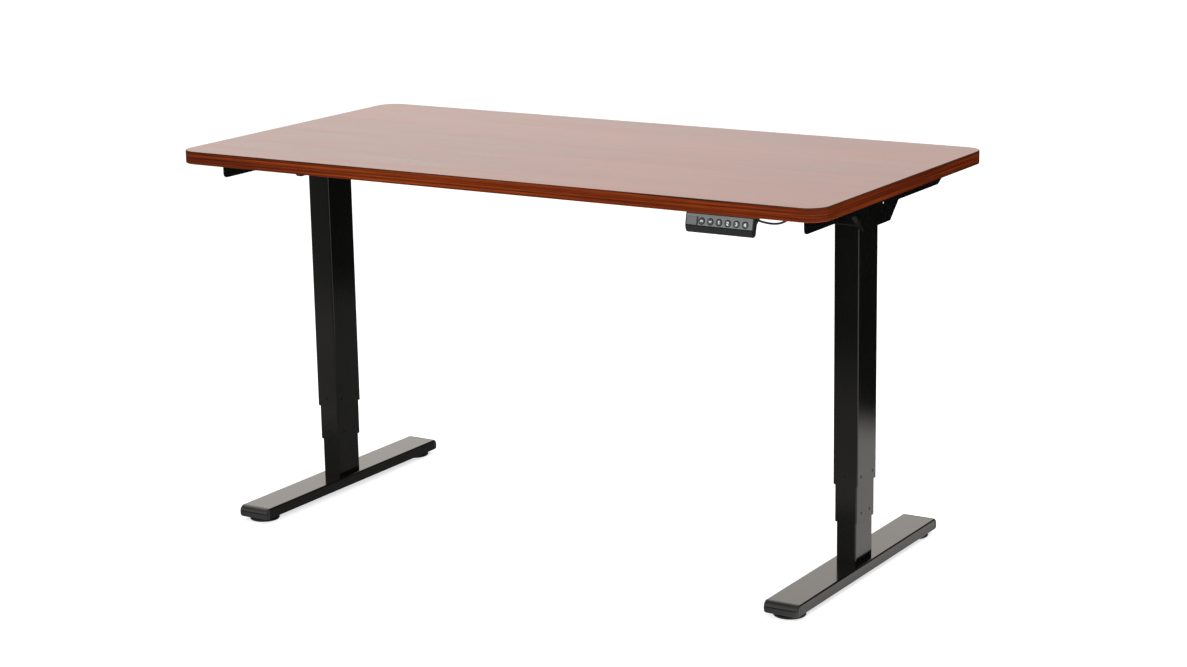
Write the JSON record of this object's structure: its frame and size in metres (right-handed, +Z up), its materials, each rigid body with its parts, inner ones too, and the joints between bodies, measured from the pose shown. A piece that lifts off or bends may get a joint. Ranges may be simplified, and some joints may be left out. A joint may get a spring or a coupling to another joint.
{
  "type": "height adjustable standing desk",
  "caption": "Electric sit-stand desk: rectangular mahogany-look top on two black three-stage lifting columns with flat feet and a push-button handset under the front edge.",
  "frame": {"origin": "on the floor, below the middle of the top", "axes": "+X along the desk to the user's right, +Y from the front edge to the back edge, +Z up"},
  "size_m": [1.4, 0.7, 0.76],
  "materials": {
    "mahogany_laminate": "satin reddish brown wood-grain laminate",
    "mahogany_edge": "dark grained edge band",
    "black_powder_coat": "black satin powder coat",
    "die_cast_alloy": "die cast, matt",
    "motor_black": "black painted housing",
    "liner_plastic": "black low-friction plastic",
    "acetal_nut": "natural white nut plastic",
    "ground_steel": "ground and greased",
    "end_cap_plastic": "dark grey fine texture",
    "zinc_steel": "zinc plated",
    "glide_rubber": "black",
    "box_plastic": "black moulded plastic",
    "circuit_board": "green board",
    "handset_shell": "black fine texture",
    "gloss_fascia": "gloss black",
    "satin_cover": "dark grey satin",
    "display_glass": "smoked window",
    "key_plastic": "dark grey keys with pale marks",
    "cable_sheath": "black cable sheath",
    "clip_plastic": "white clip plastic"
  },
  "bodies": {
    "base": {"left_inner_tube": "black_powder_coat", "right_inner_tube": "black_powder_coat", "base_nuts": "acetal_nut", "base_blocks": "die_cast_alloy", "left_foot_beam": "black_powder_coat", "right_foot_beam": "black_powder_coat", "foot_end_caps": "end_cap_plastic", "foot_bolts": "zinc_steel", "glide_inserts": "zinc_steel"},
    "top_frame": {"desktop_panel": "mahogany_laminate", "edge_band": "mahogany_edge", "left_side_bracket": "black_powder_coat", "right_side_bracket": "black_powder_coat", "front_rail": "black_powder_coat", "rear_rail": "black_powder_coat", "rail_ends": "black_powder_coat", "left_column_head": "black_powder_coat", "right_column_head": "black_powder_coat", "left_gearbox": "die_cast_alloy", "right_gearbox": "die_cast_alloy", "left_motor": "motor_black", "right_motor": "motor_black", "left_outer_tube": "black_powder_coat", "right_outer_tube": "black_powder_coat", "outer_tube_liners": "liner_plastic", "control_box_tray": "box_plastic", "control_box_lid": "box_plastic", "control_board": "circuit_board", "power_inlet": "box_plastic", "handset_case": "handset_shell", "handset_fascia": "gloss_fascia", "handset_cover": "satin_cover", "display_window": "display_glass", "handset_board": "circuit_board", "handset_cable": "cable_sheath", "left_motor_cable": "cable_sheath", "right_motor_cable": "cable_sheath", "cable_clips": "clip_plastic", "wood_screws": "zinc_steel", "frame_bolts": "zinc_steel"},
    "left_mid_stage": {"left_mid_tube": "black_powder_coat", "left_mid_liner": "liner_plastic", "left_mid_nut": "acetal_nut"},
    "right_mid_stage": {"right_mid_tube": "black_powder_coat", "right_mid_liner": "liner_plastic", "right_mid_nut": "acetal_nut"},
    "left_upper_spindle": {"left_upper_screw": "ground_steel"},
    "right_upper_spindle": {"right_upper_screw": "ground_steel"},
    "left_lower_spindle": {"left_lower_screw": "ground_steel"},
    "right_lower_spindle": {"right_lower_screw": "ground_steel"},
    "front_left_foot_glide": {"front_left_glide": "glide_rubber"},
    "rear_left_foot_glide": {"rear_left_glide": "glide_rubber"},
    "front_right_foot_glide": {"front_right_glide": "glide_rubber"},
    "rear_right_foot_glide": {"rear_right_glide": "glide_rubber"},
    "up_key": {"up_button": "key_plastic"},
    "down_key": {"down_button": "key_plastic"},
    "preset_1_key": {"preset_1_button": "key_plastic"},
    "preset_2_key": {"preset_2_button": "key_plastic"},
    "preset_3_key": {"preset_3_button": "key_plastic"},
    "preset_4_key": {"preset_4_button": "key_plastic"}
  },
  "joints": [
    {"name": "lift", "type": "slide", "parent": "base", "child": "top_frame", "axis": [0, 0, 1], "range_m": [-0.14, 0.51]},
    {"name": "left_mid_slide", "type": "slide", "parent": "base", "child": "left_mid_stage", "axis": [0, 0, 1], "range_m": [-0.07, 0.255]},
    {"name": "right_mid_slide", "type": "slide", "parent": "base", "child": "right_mid_stage", "axis": [0, 0, 1], "range_m": [-0.07, 0.255]},
    {"name": "left_upper_spin", "type": "hinge", "parent": "top_frame", "child": "left_upper_spindle", "pos_m": [-0.598, 0, 0.5], "axis": [0, 0, 1], "range_deg": [-2520.5, 9180.5]},
    {"name": "left_lower_spin", "type": "hinge", "parent": "left_mid_stage", "child": "left_lower_spindle", "pos_m": [-0.598, 0, 0.4], "axis": [0, 0, 1], "range_deg": [-2520.5, 9180.5]},
    {"name": "right_upper_spin", "type": "hinge", "parent": "top_frame", "child": "right_upper_spindle", "pos_m": [0.598, 0, 0.5], "axis": [0, 0, 1], "range_deg": [-2520.5, 9180.5]},
    {"name": "right_lower_spin", "type": "hinge", "parent": "right_mid_stage", "child": "right_lower_spindle", "pos_m": [0.598, 0, 0.4], "axis": [0, 0, 1], "range_deg": [-2520.5, 9180.5]},
    {"name": "front_left_levelling", "type": "slide", "parent": "base", "child": "front_left_foot_glide", "axis": [0, 0, -1], "range_m": [0, 0.012]},
    {"name": "front_right_levelling", "type": "slide", "parent": "base", "child": "front_right_foot_glide", "axis": [0, 0, -1], "range_m": [0, 0.012]},
    {"name": "rear_left_levelling", "type": "slide", "parent": "base", "child": "rear_left_foot_glide", "axis": [0, 0, -1], "range_m": [0, 0.012]},
    {"name": "rear_right_levelling", "type": "slide", "parent": "base", "child": "rear_right_foot_glide", "axis": [0, 0, -1], "range_m": [0, 0.012]},
    {"name": "up_press", "type": "slide", "parent": "top_frame", "child": "up_key", "axis": [0, 0.9726, -0.2326], "range_m": [0, 0.0008], "stiffness_N_per_m": 1500, "springref_m": -0.0005},
    {"name": "down_press", "type": "slide", "parent": "top_frame", "child": "down_key", "axis": [0, 0.9726, -0.2326], "range_m": [0, 0.0008], "stiffness_N_per_m": 1500, "springref_m": -0.0005},
    {"name": "preset_1_press", "type": "slide", "parent": "top_frame", "child": "preset_1_key", "axis": [0, 0.9726, -0.2326], "range_m": [0, 0.0008], "stiffness_N_per_m": 1500, "springref_m": -0.0005},
    {"name": "preset_2_press", "type": "slide", "parent": "top_frame", "child": "preset_2_key", "axis": [0, 0.9726, -0.2326], "range_m": [0, 0.0008], "stiffness_N_per_m": 1500, "springref_m": -0.0005},
    {"name": "preset_3_press", "type": "slide", "parent": "top_frame", "child": "preset_3_key", "axis": [0, 0.9726, -0.2326], "range_m": [0, 0.0008], "stiffness_N_per_m": 1500, "springref_m": -0.0005},
    {"name": "preset_4_press", "type": "slide", "parent": "top_frame", "child": "preset_4_key", "axis": [0, 0.9726, -0.2326], "range_m": [0, 0.0008], "stiffness_N_per_m": 1500, "springref_m": -0.0005}
  ],
  "couplings": [
    {"joint": "left_mid_slide", "follows": "lift", "ratio": 0.5},
    {"joint": "right_mid_slide", "follows": "lift", "ratio": 0.5},
    {"joint": "left_upper_spin", "follows": "lift", "rad_per_m": 314.16},
    {"joint": "left_lower_spin", "follows": "lift", "rad_per_m": 314.16},
    {"joint": "right_upper_spin", "follows": "lift", "rad_per_m": 314.16},
    {"joint": "right_lower_spin", "follows": "lift", "rad_per_m": 314.16}
  ]
}
